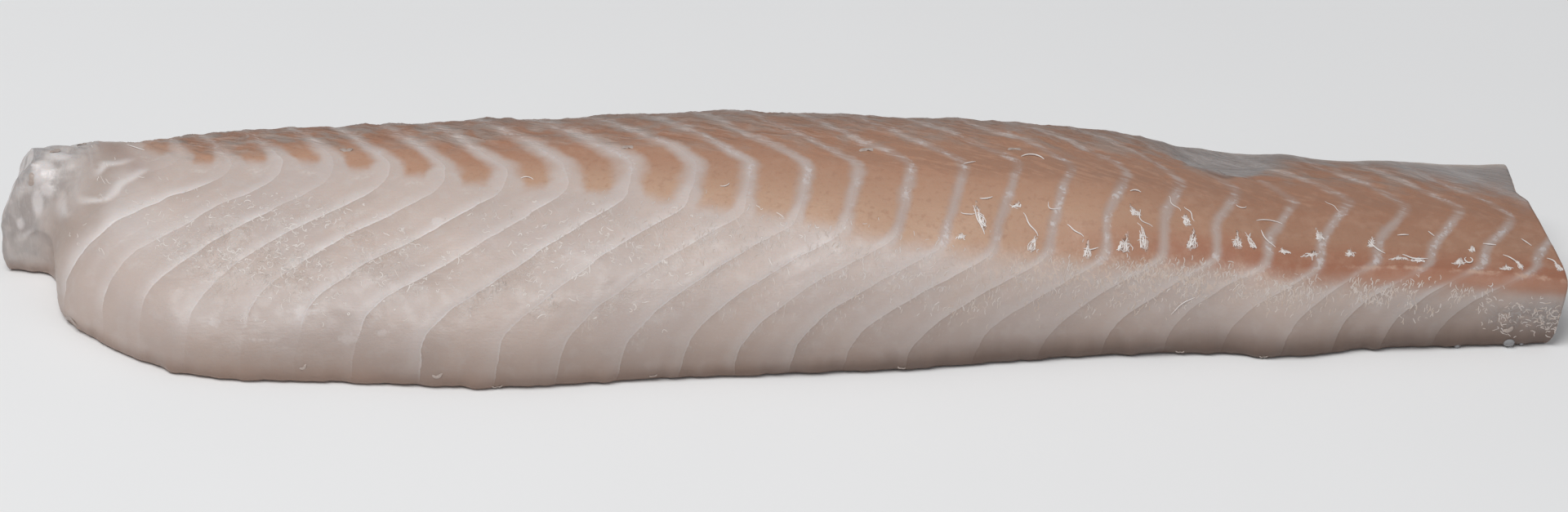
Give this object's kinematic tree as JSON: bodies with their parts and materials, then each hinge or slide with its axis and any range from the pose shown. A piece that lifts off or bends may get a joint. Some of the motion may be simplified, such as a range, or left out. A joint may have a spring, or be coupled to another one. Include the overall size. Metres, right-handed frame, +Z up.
{
  "type": "skinless cod loin",
  "caption": "Long raw skinless white fish loin lying flat, with a rounded pale front, a thin brown top, bent flake lines and two cut ends.",
  "frame": {"origin": "middle of the bounding box on the flat underside that the loin lies on", "axes": "+X along the loin from the head end to the tail end, +Y towards the steep cut wall at the back, +Z up, out of the table"},
  "size_m": [0.3812, 0.0862, 0.0385],
  "materials": {
    "raw_cod_flesh": "raw white fish muscle, moist and slightly translucent, with pale dividing lines and thin patches of brown muscle where the skin was"
  },
  "bodies": {
    "root": {"cod_loin": "raw_cod_flesh"}
  },
  "joints": []
}
